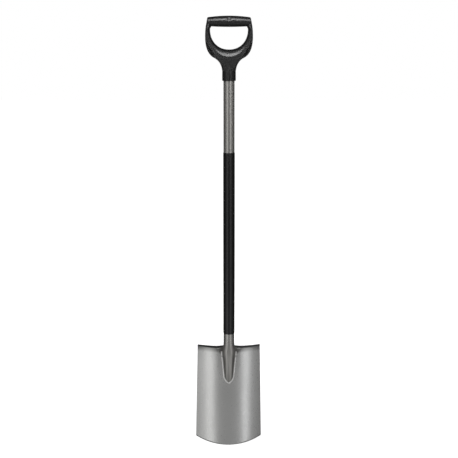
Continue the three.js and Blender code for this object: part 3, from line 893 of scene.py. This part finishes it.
# ---- stage ----
def add_floor():
    """A pale floor with a white glow only the camera sees, no shadow and no place in reflections."""
    bm = bmesh.new()
    reach = 40.0
    corners = ((-reach, -reach), (reach, -reach), (reach, reach), (-reach, reach))
    bm.faces.new([bm.verts.new((x, y, 0)) for x, y in corners])
    floor = new_piece("floor", bm)
    material = bpy.data.materials.new("pale floor")
    material.use_nodes = True
    tree = material.node_tree
    bsdf = tree.nodes["Principled BSDF"]
    bsdf.inputs["Base Color"].default_value = (0.8, 0.8, 0.8, 1)
    bsdf.inputs["Roughness"].default_value = 0.9
    bsdf.inputs["Specular IOR Level"].default_value = 0.0
    glow = tree.nodes.new("ShaderNodeEmission")
    glow.inputs["Strength"].default_value = 1.0
    lit = tree.nodes.new("ShaderNodeAddShader")
    seen = tree.nodes.new("ShaderNodeLightPath")
    mix = tree.nodes.new("ShaderNodeMixShader")
    tree.links.new(bsdf.outputs["BSDF"], lit.inputs[0])
    tree.links.new(glow.outputs["Emission"], lit.inputs[1])
    tree.links.new(seen.outputs["Is Camera Ray"], mix.inputs["Fac"])
    tree.links.new(bsdf.outputs["BSDF"], mix.inputs[1])
    tree.links.new(lit.outputs["Shader"], mix.inputs[2])
    tree.links.new(mix.outputs["Shader"], tree.nodes["Material Output"].inputs["Surface"])
    floor.data.materials.append(material)
    floor.visible_glossy = False
    floor.visible_shadow = False


def set_world():
    """White for the camera; for other rays a dim room, lighter in front (-Y), most so low down."""
    world = bpy.data.worlds.new("studio")
    world.use_nodes = True
    tree = world.node_tree
    direction = tree.nodes.new("ShaderNodeTexCoord").outputs["Generated"]
    split = tree.nodes.new("ShaderNodeSeparateXYZ")
    front = tree.nodes.new("ShaderNodeMapRange")
    set_range(front, -0.40, -0.05, ROOM_FRONT, ROOM_SIDE)
    low = tree.nodes.new("ShaderNodeMapRange")
    set_range(low, -0.42, -0.25, 1, ROOM_LEVEL_SHARE)
    room = tree.nodes.new("ShaderNodeMath")
    room.operation = "MULTIPLY"
    seen = tree.nodes.new("ShaderNodeLightPath")
    strength = tree.nodes.new("ShaderNodeMapRange")
    strength.inputs["To Max"].default_value = 1.0
    background = tree.nodes["Background"]
    background.inputs["Color"].default_value = (1, 1, 1, 1)
    tree.links.new(direction, split.inputs["Vector"])
    tree.links.new(split.outputs["Y"], front.inputs["Value"])
    tree.links.new(split.outputs["Z"], low.inputs["Value"])
    tree.links.new(front.outputs["Result"], room.inputs[0])
    tree.links.new(low.outputs["Result"], room.inputs[1])
    tree.links.new(seen.outputs["Is Camera Ray"], strength.inputs["Value"])
    tree.links.new(room.outputs["Value"], strength.inputs["To Min"])
    tree.links.new(strength.outputs["Result"], background.inputs["Strength"])
    bpy.context.scene.world = world


def aim(obj, target):
    obj.rotation_euler = (target - obj.location).to_track_quat("-Z", "Y").to_euler()


def add_softbox(name, azimuth, distance, height, size, power, target_height,
                color=(1, 1, 1), spread=180):
    """An area light aimed at the shaft, azimuth degrees round from the front towards +X.
    Distance, heights and size (width, height) are in metres."""
    light = bpy.data.lights.new(name, "AREA")
    light.shape = "RECTANGLE"
    light.size, light.size_y = size
    light.energy = power
    light.color = color
    light.spread = math.radians(spread)
    lamp = bpy.data.objects.new(name, light)
    turn = math.radians(azimuth)
    lamp.location = (math.sin(turn) * distance, -math.cos(turn) * distance, height)
    bpy.context.scene.collection.objects.link(lamp)
    aim(lamp, Vector((0, SHAFT_Y, target_height)))
    lamp.visible_camera = False


def add_lights():
    """Two tall strips that show as bands on the blade and tubes, a gridded box for the handle,
    and two tall boxes behind that light only the back."""
    add_softbox("left strip", -37, 2.0, -0.1, (0.58, 3.4), 5.9, -0.1)
    add_softbox("left fill", -59, 2.0, -0.9, (0.9, 2.0), 1.5, -0.9)
    add_softbox("right strip", 35, 2.0, -0.1, (0.42, 3.4), 5.2, -0.1, color=(0.97, 0.98, 1.0))
    add_softbox("handle box", 0, 1.5, 2.3, (1.5, 0.7), 3.0, 1.2, spread=30)
    add_softbox("back left", -155, 2.3, 0.3, (1.4, 3.0), 8.0, 0.3)
    add_softbox("back right", 155, 2.3, 0.3, (1.4, 3.0), 8.0, 0.3)


def add_camera():
    distance = 2.6
    elevation = math.radians(9.0)
    azimuth = math.radians(-1.0)
    below_collar = 395 * MM
    focus = Vector((0, SHAFT_Y, handle_low.z - below_collar))
    camera = bpy.data.cameras.new("camera")
    camera.sensor_width = 36.0
    camera.lens = 75.7
    view = bpy.data.objects.new("camera", camera)
    ahead = Vector((-math.sin(azimuth) * math.cos(elevation),
                    math.cos(azimuth) * math.cos(elevation), -math.sin(elevation)))
    view.location = focus - ahead * distance
    view.rotation_euler = ahead.to_track_quat("-Z", "Y").to_euler()
    bpy.context.scene.collection.objects.link(view)
    bpy.context.scene.camera = view


# ---- the scene ----
bpy.context.scene.view_settings.view_transform = "Standard"
add_camera()
add_lights()
set_world()
add_floor()

steel = blade_material()
weld = weld_material()
blade = make_blade()
paint_heat_and_shade(blade)
finish_piece(blade, "blade", steel)
finish_piece(make_tube(), "shaft_tube", tube_material())
finish_piece(make_bead("toe_bead", toe_path, 240, 42, 1.3), "toe_weld", weld)
left_bead = make_bead("left_heel_bead", heel_path(-1), 40, 6, 4.1)
finish_piece(left_bead, "left_heel_weld", weld)
right_bead = make_bead("right_heel_bead", heel_path(1), 40, 6, 7.7)
finish_piece(right_bead, "right_heel_weld", weld)
finish_piece(make_sleeve(), "shaft_sleeve",
             black_material("sleeve plastic", 0.004, 0.25, 700, 0.01))
finish_piece(make_handle(), "handle_body",
             black_material("handle plastic", 0.007, 0.38, 1100, 0.006))
finish_piece(make_grip(), "grip_overmould",
             black_material("grip rubber", 0.008, 0.38, 1500, 0.006))
finish_piece(make_screw(), "handle_screw", screw_material())
